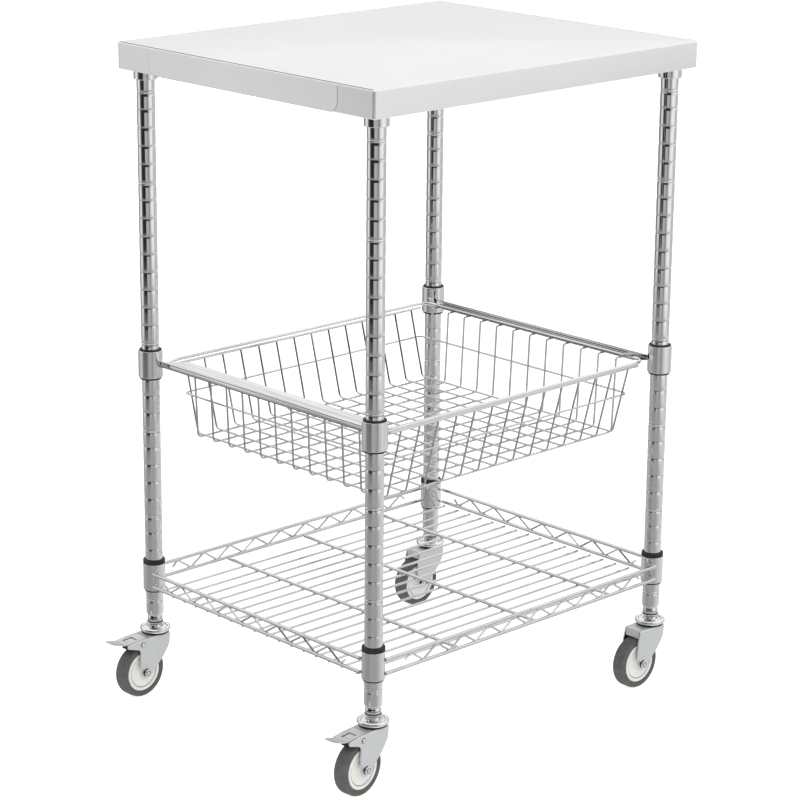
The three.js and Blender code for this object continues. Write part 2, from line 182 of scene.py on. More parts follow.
def both_faces(profile):
    """A wheel's profile from that of its near half."""
    return profile + [(radius, -height) for radius, height in reversed(profile)]


def add_tube(bm, points, radius, sides=10, closed=False, up=None):
    """Sweeps a round section along a line of points. For a line in one plane, up is square to
    that plane."""
    points = [Vector(point) for point in points]
    count = len(points)
    rings = []
    normal = up
    for i, point in enumerate(points):
        before = points[i - 1] if closed or i else point
        after = points[(i + 1) % count] if closed or i < count - 1 else point
        along = (after - before).normalized()
        if normal is None:
            normal = along.orthogonal()
        normal = (normal - along * normal.dot(along)).normalized()
        side = along.cross(normal)
        turns = [2 * math.pi * k / sides for k in range(sides)]
        spots = [point + radius * (math.cos(t) * normal + math.sin(t) * side) for t in turns]
        rings.append(add_row(bm, spots))
    bridge(bm, rings, loop=closed)
    if not closed:
        bm.faces.new(rings[0])
        bm.faces.new(rings[-1])


def rounded(points, radius, steps=5, closed=False):
    """The same line of points with each corner rounded, by one radius or one for each point."""
    points = [Vector(p) for p in points]
    count = len(points)
    path = []
    for i, corner in enumerate(points):
        if not closed and i in (0, count - 1):
            path.append(corner)
            continue
        back = points[i - 1] - corner
        ahead = points[(i + 1) % count] - corner
        half = back.angle(ahead) / 2
        bend = radius[i] if isinstance(radius, tuple) else radius
        reach = min(bend / math.tan(half), back.length / 2, ahead.length / 2)
        start = corner + back.normalized() * reach
        end = corner + ahead.normalized() * reach
        for k in range(steps + 1):
            t = k / steps
            path.append(start * (1 - t) ** 2 + corner * 2 * t * (1 - t) + end * t * t)
    return path


def add_plate(bm, outline, thickness, place=Matrix.Identity(4)):
    """A flat plate: an outline in x and y, thickened evenly about z = 0."""
    layers = [add_row(bm, [(x, y, side * thickness) for x, y in outline], place)
              for side in (-0.5, 0.5)]
    bm.faces.new(layers[0][::-1])
    bm.faces.new(layers[1])
    bridge(bm, layers)


def arc(centre, radius, start, end, steps=8):
    """Points on an arc in a plane; the angles are in degrees."""
    turns = [math.radians(start + (end - start) * k / steps) for k in range(steps + 1)]
    return [(centre[0] + radius * math.cos(t), centre[1] + radius * math.sin(t)) for t in turns]


def soften(obj, width, segments=2):
    """Rounds the sharp edges of sheet metal."""
    bevel = obj.modifiers.new("edges", "BEVEL")
    bevel.width = width
    bevel.segments = segments
    bevel.limit_method = "ANGLE"
    bevel.angle_limit = math.radians(40)
    bevel.harden_normals = True
    return obj


def thicken(obj, thickness):
    """Gives a folded sheet its gauge, evenly on both sides."""
    solid = obj.modifiers.new("gauge", "SOLIDIFY")
    solid.thickness = thickness
    solid.offset = 0
    solid.use_even_offset = True
    return obj


# ---- Materials ----
class Nodes:
    """A short way to write a material's node tree."""

    def __init__(self, name, metallic, roughness):
        self.material = bpy.data.materials.new(name)
        self.material.use_nodes = True
        self.tree = self.material.node_tree
        self.shader = self.tree.nodes["Principled BSDF"]
        self.shader.inputs["Metallic"].default_value = metallic
        self.shader.inputs["Roughness"].default_value = roughness
        self.place = self.new("TexCoord").outputs["Object"]

    def new(self, kind, **inputs):
        """Adds a node and sets some of its inputs."""
        node = self.tree.nodes.new(f"ShaderNode{kind}")
        for name, value in inputs.items():
            node.inputs[name].default_value = value
        return node

    def link(self, source, target):
        self.tree.links.new(source, target)

    def noise(self, scale, stretch=(1, 1, 1), detail=4.0, roughness=0.55):
        mapping = self.new("Mapping", Scale=stretch)
        self.link(self.place, mapping.inputs["Vector"])
        noise = self.new("TexNoise", Scale=scale, Detail=detail, Roughness=roughness)
        self.link(mapping.outputs["Vector"], noise.inputs["Vector"])
        return noise.outputs["Fac"]

    def cells(self, scale):
        cells = self.new("TexVoronoi", Scale=scale)
        self.link(self.place, cells.inputs["Vector"])
        return cells.outputs["Color"]

    def colour(self, source, low, high, start=0.3, end=0.7):
        ramp = self.new("ValToRGB")
        for element, spot, shade in zip(ramp.color_ramp.elements, (start, end), (low, high)):
            element.position = spot
            element.color = (*shade, 1)
        self.link(source, ramp.inputs["Fac"])
        self.link(ramp.outputs["Color"], self.shader.inputs["Base Color"])

    def polish(self, source, low, high):
        limits = {"From Min": 0.3, "From Max": 0.7, "To Min": low, "To Max": high}
        spread = self.new("MapRange", **limits)
        self.link(source, spread.inputs["Value"])
        self.link(spread.outputs["Result"], self.shader.inputs["Roughness"])

    def bump(self, source, strength, distance):
        bump = self.new("Bump", Strength=strength, Distance=distance)
        self.link(source, bump.inputs["Height"])
        self.link(bump.outputs["Normal"], self.shader.inputs["Normal"])


def satin_steel(name, low, high):
    """Sheet with a fine grain along its length and faint cloudiness."""
    nodes = Nodes(name, 0.72, 0.36)
    nodes.colour(nodes.noise(5.0, detail=3.0), (low, low, low * 1.01), (high, high, high * 1.01))
    nodes.polish(nodes.noise(7.0, (1, 60, 60), detail=5.0), 0.32, 0.42)
    nodes.bump(nodes.noise(30.0, (1, 45, 45), detail=5.0), 0.06, 0.0001)
    return nodes.material


def chrome(name, shade, smear, polish):
    """Plated metal: slightly uneven polish, faint smears and a ghost of the tube beneath."""
    nodes = Nodes(name, 1.0, polish)
    dull = tuple(value * smear for value in shade)
    nodes.colour(nodes.noise(38.0, detail=6.0), dull, shade)
    nodes.polish(nodes.noise(90.0, (1, 1, 0.3)), polish * 0.6, polish * 1.6)
    nodes.bump(nodes.noise(160.0, (1, 1, 0.25), detail=2.0), 0.05, 0.0002)
    return nodes.material


def drawn_chrome(name, low, high):
    """Plated channel with fine lines along its length."""
    nodes = Nodes(name, 1.0, 0.12)
    nodes.colour(nodes.noise(9.0, (38, 0.5, 38), detail=4.0), low, high, 0.36, 0.60)
    nodes.polish(nodes.noise(60.0), 0.09, 0.17)
    nodes.bump(nodes.noise(20.0, (60, 1, 60), detail=2.0), 0.08, 0.0001)
    return nodes.material


def zinc_plate():
    """Bright zinc: a fine crystalline grain on pressed sheet."""
    nodes = Nodes("zinc_plate", 0.78, 0.42)
    nodes.colour(nodes.cells(1500.0), (0.665, 0.685, 0.69), (0.765, 0.78, 0.786), 0.1, 0.9)
    nodes.polish(nodes.noise(240.0, detail=5.0), 0.34, 0.52)
    nodes.bump(nodes.noise(700.0, detail=4.0), 0.16, 0.00015)
    return nodes.material


def tyre_rubber():
    """Grey thermoplastic rubber with a dry, slightly dusty skin."""
    nodes = Nodes("tyre_rubber", 0.0, 0.72)
    nodes.colour(nodes.noise(110.0, detail=8.0), (0.066, 0.063, 0.063), (0.094, 0.090, 0.090))
    nodes.polish(nodes.noise(60.0), 0.62, 0.82)
    nodes.bump(nodes.noise(1400.0, detail=3.0), 0.25, 0.0001)
    return nodes.material


def moulded(name, low, high, polish, grain):
    """Moulded plastic with a little mottling and a fine texture from its mould."""
    nodes = Nodes(name, 0.0, polish)
    nodes.colour(nodes.noise(70.0, detail=6.0), low, high)
    nodes.polish(nodes.noise(150.0), polish * 0.85, polish * 1.2)
    nodes.bump(nodes.noise(grain, detail=3.0), 0.12, 0.0001)
    return nodes.material


def particle_board():
    """Pressed chips, seen only from underneath."""
    nodes = Nodes("particle_board", 0.0, 0.85)
    nodes.colour(nodes.cells(260.0), (0.34, 0.30, 0.25), (0.60, 0.55, 0.48), 0.0, 1.0)
    nodes.polish(nodes.noise(90.0), 0.75, 0.92)
    nodes.bump(nodes.noise(420.0, detail=5.0), 0.4, 0.0004)
    return nodes.material


STEEL = satin_steel("satin_steel", 0.83, 0.87)
# A darker copy of the satin steel for the upright sides and end panels: painted shade.
SHADED_APRON_STEEL = satin_steel("shaded_apron_steel", 0.75, 0.79)
# Near-black steel for the tubes along the seams, crease and folds: painted shade.
SHADE_SEAM = satin_steel("sheet_seam_shade", 0.07, 0.11)
CHROME = chrome("post_chrome", (0.93, 0.93, 0.945), 0.96, 0.05)
RAIL_CHROME = drawn_chrome("rail_chrome", (0.55, 0.55, 0.56), (0.90, 0.90, 0.91))
# A brighter copy of the wire chrome for the rim and the stout end wires: painted highlight.
RIM_HIGHLIGHT_CHROME = chrome("rim_highlight_chrome", (0.92, 0.92, 0.93), 0.94, 0.10)
WIRE = chrome("wire_chrome", (0.74, 0.74, 0.755), 0.90, 0.12)
SHELF_WIRE = chrome("shelf_chrome", (0.78, 0.775, 0.79), 0.90, 0.14)
# Near-black steel for the dark rings, lines and plates that are painted shade.
PAINTED_SHADE = chrome("shaded_steel", (0.085, 0.085, 0.09), 0.7, 0.30)
ZINC = zinc_plate()
BLACK = moulded("black_plastic", (0.012, 0.012, 0.012), (0.024, 0.024, 0.024), 0.45, 900.0)
BLACK.node_tree.nodes["Principled BSDF"].inputs["Specular IOR Level"].default_value = 0.22
RUBBER = tyre_rubber()
HUB = moulded("hub_plastic", (0.63, 0.622, 0.59), (0.68, 0.672, 0.64), 0.42, 600.0)
BOARD = particle_board()


# ---- Worktop ----
EDGE_ROLL = 3 * MM
PLAN_CORNER = 3.8 * MM
LIP = 8 * MM
SHEET = 1.2 * MM
# Faces on the apron take the darker copy of the steel, which is painted shade.
APRON_RISE = 0.3  # a face whose normal rises less than this is on the apron
PANEL_PROUD = 0.3 * MM
PANEL_HALF = 188 * MM
PANEL_FOOT = 15 * MM
SEAM_RADIUS = 0.42 * MM
CREASE_RADIUS = 0.4 * MM
CREASE_SUNK = 0.43 * MM
CREASE_HALF = PANEL_HALF * 1.34
FOLD_SUNK = 0.25 * MM


def plan_ring(half_x, half_y, corner):
    """A rounded rectangle in plan, the same number of points whatever its size."""
    ring = []
    for sx, sy, start in ((1, 1, 0), (-1, 1, 90), (-1, -1, 180), (1, -1, 270)):
        centre = (sx * (half_x - corner), sy * (half_y - corner))
        ring += arc(centre, corner, start, start + 90, 6)
    return ring


def worktop_section(depth):
    """(inset from the outside, height below the top) from the lip's inner edge to the flat top."""
    section = [(LIP, -depth + SHEET), (LIP, -depth), (SHEET, -depth), (0, -depth + SHEET)]
    turns = [math.radians(90 * k / 5) for k in range(6)]
    section += [(EDGE_ROLL * (1 - math.cos(t)), EDGE_ROLL * (math.sin(t) - 1)) for t in turns]
    return section


def build_worktop():
    low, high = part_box("worktop_skin")
    centre = (low + high) / 2
    half_x = (high.x - low.x) / 2 - PANEL_PROUD
    half_y = (high.y - low.y) / 2
    bm = bmesh.new()
    rings = []
    for inset, below in worktop_section(high.z - low.z):
        plan = plan_ring(half_x - inset, half_y - inset, max(PLAN_CORNER - inset, 1 * MM))
        rings.append(add_row(bm, [(centre.x + x, centre.y + y, high.z + below) for x, y in plan]))
    bridge(bm, rings)
    bm.faces.new(rings[-1])
    shell = piece("worktop_shell", bm, STEEL, "frame", "worktop_steel", ["worktop_skin"])
    # The upright sides get a darker copy of the steel than the top, which is painted shade.
    shell.data.materials.append(SHADED_APRON_STEEL)
    for face in shell.data.polygons:
        face.material_index = 1 if abs(face.normal.z) < APRON_RISE else 0
    for side, edge in ((-1, low.x), (1, high.x)):
        build_end_panel(side, edge, centre.y, low.z, high.z)


def build_end_panel(side, edge, y, bottom, top):
    """The sheet folded down over an end: a panel with rounded lower corners, and dark tubes along
    its seams, crease and folds, which are painted shade.
    """
    height = top - bottom - EDGE_ROLL
    foot = PANEL_HALF - PANEL_FOOT
    outline = [(-PANEL_HALF, height), *arc((-foot, PANEL_FOOT), PANEL_FOOT, 180, 270)]
    outline += [*arc((foot, PANEL_FOOT), PANEL_FOOT, 270, 360), (PANEL_HALF, height)]
    # The plate's own x and y become Y and Z, and it stands out from the apron's end.
    place = Matrix(((0, 0, 1, edge - side * PANEL_PROUD), (1, 0, 0, y),
                    (0, 1, 0, bottom), (0, 0, 0, 1)))
    end = "left" if side < 0 else "right"
    bm = bmesh.new()
    add_plate(bm, outline, 2 * PANEL_PROUD, place)
    # The end panel takes the darker apron steel, which is painted shade.
    panel = piece(f"worktop_end_{end}", bm, SHADED_APRON_STEEL, "frame", "worktop_steel")
    soften(panel, 0.12 * MM)
    # Dark tubes along the seams, crease and folds: painted shade.
    bm = bmesh.new()
    sunk = -side * (SEAM_RADIUS - PANEL_PROUD + 0.02 * MM)
    add_tube(bm, [place @ Vector((u, v, sunk)) for u, v in outline], SEAM_RADIUS, 8)
    # The line where the sheet starts to roll over into this end, a dark tube that is painted shade.
    crease = edge - side * EDGE_ROLL * 0.53
    ends = [(crease, y + along, top - CREASE_SUNK) for along in (-CREASE_HALF, CREASE_HALF)]
    add_tube(bm, ends, CREASE_RADIUS, 8)
    # The upright folds close to the corners, dark tubes that are painted shade.
    fold_x = edge - side * (PANEL_PROUD + FOLD_SUNK)
    for along in (-1, 1):
        fold_y = y + along * (CAD_BOX[1].y - y - PLAN_CORNER * 0.8)
        heights = (bottom + 1.5 * MM, top - 0.8 * EDGE_ROLL)
        add_tube(bm, [(fold_x, fold_y, z) for z in heights], CREASE_RADIUS, 8)
    piece(f"worktop_seam_shade_{end}", bm, SHADE_SEAM, "frame", "worktop_steel")


# ---- Posts ----
GROOVE_COUNT = 30
GROOVE_PITCH = 25.4 * MM
GROOVE_TOP = 16 * MM
GROOVE_DEPTH = 0.55 * MM
GROOVE_HALF = 0.75 * MM
DOUBLED = (0, 5, 14, 19, 24, 29)
DOUBLE_GAP = 3.5 * MM
SWELL = 0.34 * MM
SWELL_STEPS = 12
END_CHAMFER = 1.2 * MM
# (share of the groove's depth, share of its half width), down the groove
GROOVE_SHAPE = ((0.75, 0.45), (1, 0), (0.75, -0.45))
# The dark ring painted as shade inside each groove, as (share of the groove's depth, share of its
# half width).
SHADE_SHAPE = ((0.62, 0.7), (0.94, 0.25), (0.94, -0.25), (0.62, -0.7))


def groove_heights():
    """From the socket down: every 25.4 mm, with a second groove close under some of them."""
    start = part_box("post_socket_front_left")[0].z - GROOVE_TOP
    heights = []
    for index in range(GROOVE_COUNT):
        heights.append(start - index * GROOVE_PITCH)
        if index in DOUBLED:
            heights.append(heights[-1] - DOUBLE_GAP)
    return heights


def groove(height, shape):
    return [(POST_RADIUS - GROOVE_DEPTH * share, height + GROOVE_HALF * spot)
            for share, spot in shape]


def swell(top, bottom):
    """The wall between two grooves, which stands out in the middle and falls away towards each."""
    points = []
    for k in range(SWELL_STEPS + 1):
        share = (1 - math.cos(math.pi * k / SWELL_STEPS)) / 2
        fall = abs(2 * share - 1) ** 6 * SWELL
        points.append((POST_RADIUS - fall, top + (bottom - top) * share))
    return points


def post_profile():
    """A tube with rolled grooves, from its top end down to its bottom end."""
    heights = groove_heights()
    end = POST_RADIUS - END_CHAMFER
    points = [(end, POST_TOP), *swell(POST_TOP, heights[0] + GROOVE_HALF)]
    for height, below in zip(heights, heights[1:] + [POST_BOTTOM + END_CHAMFER - GROOVE_HALF]):
        points += groove(height, GROOVE_SHAPE)
        points += swell(height - GROOVE_HALF, below + GROOVE_HALF)
    return [*points, (end, POST_BOTTOM)]


def build_posts():
    profile = post_profile()
    for corner, place in UPRIGHT.items():
        turned(f"post_tube_{corner}", profile, 56, place, CHROME, "frame", "post_chrome",
               [f"post_{corner}"], 60, closed=False)
        # Dark rings inside the grooves: painted shade.
        bm = bmesh.new()
        for height in groove_heights():
            add_lathe(bm, groove(height, SHADE_SHAPE), 40, place=place)
        piece(f"post_groove_shade_{corner}", bm, PAINTED_SHADE, "frame", "post_chrome", sharp=60)
        build_socket(corner, place)


def build_socket(corner, place):
    low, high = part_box(f"post_socket_{corner}")
    radius = (high.x - low.x) / 2
    bore = POST_RADIUS + 0.35 * MM
    chamfer = 0.5 * MM
    # The wall has an extra ring close to its chamfer, which keeps its shading upright.
    profile = [
        (bore, high.z), (radius, high.z), (radius, low.z + 2 * chamfer), (radius, low.z + chamfer),
        (radius - chamfer, low.z), (bore + 0.4 * MM, low.z), (bore, low.z + 0.4 * MM),
    ]
    turned(f"socket_{corner}", profile, 56, place, CHROME, "frame", "post_chrome",
           [f"post_socket_{corner}"], 50)


# ---- Collars and the sleeves that lock them ----
BASKET_COLLAR = 17.25 * MM
SHELF_COLLAR = 16 * MM
# How far the collars' upper edges stand above the CAD's, as measured in the photograph.
BASKET_RISE = 1.2 * MM
SHELF_RISE = 2.4 * MM
COLLAR_GAP = 2.2 * MM
# Under a basket collar the sleeve's foot shows as a thin black line.
FOOT_LINE = 1.0 * MM
FOOT_TALL = 2.6 * MM
SLEEVE_WALL = 2.0 * MM


def collar_profile(radius, bottom, top):
    """A drawn ring, a touch wider at the bottom, with rolled edges."""
    bore = POST_RADIUS + COLLAR_GAP
    roll = 0.6 * MM
    lean = 0.1 * MM
    # Rings close to the rolls keep the wall's shading upright.
    near = 1.4 * roll
    outer = [*arc((radius - roll, bottom + roll), roll, -90, 0, 4), (radius, bottom + near)]
    outer.append((radius - lean, top - near))
    outer += arc((radius - roll - lean, top - roll), roll, 0, 90, 4)
    inner = [(bore + roll, top), (bore, top - roll)]
    return [(bore, bottom + roll), (bore + roll, bottom), *outer, *inner]


def sleeve_profile(lip, bottom, seat, top, foot=None):
    """Bore, body and lip, and on some a foot that shows as a thin line under the collar."""
    bore, body = POST_RADIUS + 0.3 * MM, POST_RADIUS + SLEEVE_WALL
    outside = [(body, bottom)]
    if foot:
        outside = [(foot - 0.3 * MM, bottom), (foot, bottom + 0.4 * MM), (foot, bottom + FOOT_TALL),
                   (body, bottom + FOOT_TALL + 0.05 * MM)]
    return [
        (bore, bottom), *outside, (body, seat), (lip, seat),
        (lip, top - 0.6 * MM), (lip - 0.6 * MM, top), (bore, top),
    ]


def build_collars():
    for corner, place in UPRIGHT.items():
        end = "left" if "left" in corner else "right"
        truss = "front" if "front" in corner else "back"
        rail_low, rail_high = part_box(f"slide_rail_{end}")
        shelf_low, shelf_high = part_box(f"shelf_truss_{truss}")
        rail_seat, shelf_seat = rail_high.z + BASKET_RISE, shelf_high.z + SHELF_RISE
        basket = collar_profile(BASKET_COLLAR, rail_low.z + FOOT_LINE, rail_seat)
        turned(f"basket_collar_{corner}", basket, 56, place, CHROME, "frame", "rail_chrome", (), 50)
        shelf = collar_profile(SHELF_COLLAR, shelf_low.z, shelf_seat)
        turned(f"shelf_collar_{corner}", shelf, 56, place, CHROME, "frame", "shelf_wire", (), 50)
        build_sleeve(f"basket_sleeve_{corner}", place, rail_seat)
        build_sleeve(f"shelf_sleeve_{corner}", place, shelf_seat)


def build_sleeve(node, place, seat):
    """Black moulding: a lip above the collar, and on the basket's a foot just below it."""
    low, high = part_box(node)
    lip = (high.x - low.x) / 2
    foot = lip - 0.1 * MM if node.startswith("basket") else None
    profile = sleeve_profile(lip, low.z, seat, high.z, foot)
    turned(f"{node}_moulding", profile, 48, place, BLACK, "frame", "sleeve_plastic", [node], 40)


# ---- Slide rails ----
RAIL_GAUGE = 1.2 * MM
RAIL_FROM_POST = 7 * MM
RAIL_BELOW_RIM = 3.6 * MM
RAIL_ABOVE_RIM = 3.9 * MM
UPPER_FLANGE = 28.4 * MM
LOWER_FLANGE = 14.9 * MM
RAIL_FOLD = 1.6 * MM
RAIL_CHAMFER = 0.4 * MM
RAIL_END = POST_Y - 15 * MM
# The far rail reads darker in the photograph, so it has two more dark lines along its upper flange:
# painted shade.
FAR_RAIL_SHADE_LINES = (19 * MM, 12 * MM)


def build_rails():
    rim = middle("basket_rim").z
    for side, end in ((-1, "left"), (1, "right")):
        web = POSTS[f"front_{end}"].x - side * (RAIL_FROM_POST + RAIL_GAUGE / 2)
        for build in (build_channel, build_rail_shade_lines):
            build(side, end, web, rim - RAIL_BELOW_RIM, rim + RAIL_ABOVE_RIM)


def build_channel(side, end, web, bottom, top):
    """A shallow channel open to the middle, with rounded folds and slanted ends."""
    section = [(UPPER_FLANGE, top), (RAIL_FOLD, top), (RAIL_CHAMFER, top - RAIL_CHAMFER)]
    section += [(0, top - RAIL_FOLD), (0, bottom + RAIL_FOLD)]
    section += [(RAIL_CHAMFER, bottom + RAIL_CHAMFER), (RAIL_FOLD, bottom), (LOWER_FLANGE, bottom)]
    bm = bmesh.new()
    rows = []
    for inset, z in section:
        reach = RAIL_END - inset
        stops = (-reach, -reach / 3, reach / 3, reach)
        rows.append(add_row(bm, [(web - side * inset, CENTRE.y + y, z) for y in stops]))
    bridge(bm, rows, closed=False)
    node = f"slide_rail_{end}"
    obj = piece(f"rail_channel_{end}", bm, RAIL_CHROME, "frame", "rail_chrome", [node], 50)
    soften(thicken(obj, RAIL_GAUGE), 0.25 * MM)


def build_rail_shade_lines(side, end, web, bottom, top):
    """The cut edge of the flange and the outer folds, drawn as dark lines that are painted shade.
    """
    cut = RAIL_END - UPPER_FLANGE
    # (x, height, half length, radius)
    lines = [(web - side * (UPPER_FLANGE + 0.1 * MM), top, cut, 0.6 * MM)]
    if side > 0:
        lines += [(web - side * inset, top + 0.2 * MM, cut, 0.9 * MM) for inset in FAR_RAIL_SHADE_LINES]
    for height in (top - 0.5 * MM, bottom + 0.4 * MM):
        lines.append((web + side * 0.35 * MM, height, RAIL_END - 1 * MM, 0.45 * MM))
    bm = bmesh.new()
    for x, height, half, radius in lines:
        add_tube(bm, [(x, CENTRE.y + y, height) for y in (-half, half)], radius, 8)
    piece(f"rail_shade_lines_{end}", bm, PAINTED_SHADE, "frame", "rail_chrome")


# ---- Basket ----
WIRE_RADIUS = 1.5 * MM
WIRE_PITCH = 34 * MM
WIRE_BEND = 7 * MM
LONG_WIRES = 12
CROSS_WIRES = 14
LEDGE_INSET = 4.5 * MM
LEDGE_BEND = 2.4 * MM
SIDE_LEAN = 5.5 * MM
END_INSET = 5 * MM
END_DROP = 5 * MM
RIM_CORNER = 25 * MM
MIDDLE_CORNER = 11 * MM
MIDDLE_SHARE = 0.56
END_WIRE_RADIUS = 2.0 * MM
END_WIRE_DROP = 5.5 * MM
END_WIRE_INSET = 17 * MM


def basket_sizes():
    """Half sizes of the floor, half sizes at the rim, and the floor's height. The front and back
    lean out almost to the rim. The sides stand nearly upright and turn outwards at their tops."""
    floor = extent("basket_floor") / 2
    top_y = extent("basket_rim").y / 2 - END_INSET
    return floor.x, floor.y, floor.x + SIDE_LEAN, top_y, middle("basket_floor").z


def from_centre(across, spot, line):
    """Points in a plane across the cart: a line of (distance, height) points, spot to one side."""
    if across == "x":
        return [(CENTRE.x + u, CENTRE.y + spot, z) for u, z in line]
    return [(CENTRE.x + spot, CENTRE.y + u, z) for u, z in line]


def mirrored(line):
    """One wall's line from its top down, then the other wall's."""
    return [(-u, z) for u, z in line] + [(u, z) for u, z in reversed(line)]


def add_wires(bm, across, count, line, bend, up):
    """A row of bent wires, side by side across the basket."""
    for index in range(count):
        path = from_centre(across, (index - (count - 1) / 2) * WIRE_PITCH, line)
        add_tube(bm, rounded(path, bend), WIRE_RADIUS, 10, up=Vector(up))


def build_basket():
    floor_x, floor_y, top_x, top_y, floor_z = basket_sizes()
    rim_x = extent("basket_rim").x / 2
    rim_z = middle("basket_rim").z
    # The cross wires lie on the long ones, so the floor's height is between them.
    low, high = floor_z - WIRE_RADIUS, floor_z + WIRE_RADIUS
    bm = bmesh.new()
    side = mirrored([(rim_x - LEDGE_INSET, rim_z), (top_x, rim_z), (floor_x, low)])
    bends = (LEDGE_BEND, LEDGE_BEND, WIRE_BEND)
    add_wires(bm, "x", LONG_WIRES, side, bends + bends[::-1], (0, 1, 0))
    nodes = ["basket_floor", "basket_left", "basket_right"]
    piece("basket_long_wires", bm, WIRE, "basket", "basket_wire", nodes)
    bm = bmesh.new()
    end = mirrored([(top_y, rim_z - END_DROP), (floor_y, high)])
    add_wires(bm, "y", CROSS_WIRES, end, WIRE_BEND, (1, 0, 0))
    piece("basket_cross_wires", bm, WIRE, "basket", "basket_wire", ["basket_front", "basket_back"])
    build_basket_rings(rim_z)


def add_ring(bm, half_x, half_y, height, corner, radius, sides):
    corners = ((1, 1), (-1, 1), (-1, -1), (1, -1))
    loop = [Vector((sx * half_x, sy * half_y, height)) + Vector((CENTRE.x, CENTRE.y, 0))
            for sx, sy in corners]
    add_tube(bm, rounded(loop, corner, 8, True), radius, sides, True, Vector((0, 0, 1)))


def build_basket_rings(rim_z):
    """The rim, the wire round the middle of the walls, and a stout wire under the rim's ends."""
    floor_x, floor_y, top_x, top_y, floor_z = basket_sizes()
    rim = extent("basket_rim") / 2
    rod = rim.z
    bm = bmesh.new()
    add_ring(bm, rim.x - rod, rim.y - rod, rim_z, RIM_CORNER, rod, 14)
    # The rim rod takes the brighter chrome: painted highlight.
    piece("basket_rim_rod", bm, RIM_HIGHLIGHT_CHROME, "basket", "basket_wire", ["basket_rim"])
    half_x = floor_x + MIDDLE_SHARE * (top_x - floor_x) + WIRE_RADIUS
    half_y = floor_y + MIDDLE_SHARE * (top_y - floor_y) + WIRE_RADIUS
    height = floor_z + MIDDLE_SHARE * (rim_z - floor_z)
    bm = bmesh.new()
    add_ring(bm, half_x, half_y, height, MIDDLE_CORNER, WIRE_RADIUS, 10)
    piece("basket_middle_wire", bm, WIRE, "basket", "basket_wire")
    bm = bmesh.new()
    reach = rim.x - END_WIRE_INSET
    for side in (-1, 1):
        line = [(-reach, rim_z - END_WIRE_DROP), (reach, rim_z - END_WIRE_DROP)]
        add_tube(bm, from_centre("x", side * top_y, line), END_WIRE_RADIUS, 10)
    # The end wires take the brighter chrome too: painted highlight.
    piece("basket_end_wires", bm, RIM_HIGHLIGHT_CHROME, "basket", "basket_wire")


# ---- Shelf ----
SNAKE_RADIUS = 1.6 * MM
SNAKE_BEND = 5 * MM
# (bends, distance from crest to crest, whether the first bend is a crest)
LONG_SNAKE = (19, 49.6 * MM, True)
SHORT_SNAKE = (15, 51.5 * MM, False)
TRUSS_INSET = 2.6 * MM
TRUSS_SHORT = 9 * MM
MAT_WIRE = 1.9 * MM
MAT_ROD = 2.5 * MM
MAT_PITCH = 25.4 * MM
MAT_EDGE = 208 * MM
MAT_RODS = (-128 * MM, 22 * MM, 176 * MM)
MAT_SHORT = 5 * MM


def build_truss(name, across, spot, half, levels, rod, snake):
    """Two rods with a bent wire between them."""
    low, high = levels
    bends, pitch, crest_first = snake
    bm = bmesh.new()
    for height in levels:
        add_tube(bm, from_centre(across, spot, [(-half, height), (half, height)]), rod, 12)
    reach = rod * 0.55
    stub = (bends - 1) / 4 * pitch + 0.18 * pitch
    leg = (low + high) / 2
    zigzag = [(-stub, leg)]
    for index in range(bends):
        along = (index - (bends - 1) / 2) * pitch / 2
        crest = (index % 2 == 0) == crest_first
        zigzag.append((along, high - reach if crest else low + reach))
    zigzag.append((stub, leg))
    path = rounded(from_centre(across, spot, zigzag), SNAKE_BEND, 4)
    add_tube(bm, path, SNAKE_RADIUS, 8)
    piece(f"shelf_edge_{name}", bm, SHELF_WIRE, "frame", "shelf_wire", [f"shelf_truss_{name}"])


def build_shelf():
    low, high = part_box("shelf_truss_right")
    rod = (high.x - low.x) / 2
    levels = (low.z + rod, high.z - rod)
    side_x = middle("shelf_truss_right").x - CENTRE.x
    end_y = CENTRE.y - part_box("shelf_truss_front")[0].y - TRUSS_INSET
    for name, sign in (("front", -1), ("back", 1)):
        build_truss(name, "x", sign * end_y, POST_X - TRUSS_SHORT, levels, rod, LONG_SNAKE)
    for name, sign in (("left", -1), ("right", 1)):
        build_truss(name, "y", sign * side_x, (high.y - low.y) / 2, levels, rod, SHORT_SNAKE)
    build_mat()


def build_mat():
    low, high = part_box("shelf_mat")
    ends = (low.x + MAT_SHORT, high.x - MAT_SHORT)
    bm = bmesh.new()
    for y in [index * MAT_PITCH for index in range(-7, 8)] + [-MAT_EDGE, MAT_EDGE]:
        add_tube(bm, [(x, CENTRE.y + y, low.z + MAT_WIRE) for x in ends], MAT_WIRE, 10)
    for x in MAT_RODS:
        add_tube(bm, [(CENTRE.x + x, y, high.z - MAT_ROD) for y in (low.y, high.y)], MAT_ROD, 12)
    piece("shelf_wires", bm, SHELF_WIRE, "frame", "shelf_wire", ["shelf_mat"])


# ---- Casters ----
WHEEL = extent("tyre_front_right")
WHEEL_RADIUS = WHEEL.z / 2
AXLE_X = middle("tyre_front_right").x - POSTS["front_right"].x
AXLE_Z = middle("tyre_front_right").z
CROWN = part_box("caster_fork_front_right")[1].z
FORK_HALF = extent("caster_fork_front_right").y / 2
FORK_GAUGE = 2.2 * MM
FORK_FOLD = 3 * MM
FORK_FRONT = 15 * MM
FORK_BACK = -37 * MM
# A crown with a brake ends further forward, where the pedal starts.
BRAKED_BACK = -22 * MM
PIN_X, PIN_Z = -36 * MM, 81.7 * MM


def caster_place(corner):
    """From a caster's own frame, where it trails towards -X, to the row frame."""
    axis = Vector(JOINTS[f"wheel_spin_{corner}"]["axis"])
    turn = math.atan2(-axis.x, axis.y)
    return UPRIGHT[corner] @ Matrix.Rotation(turn, 4, "Z")


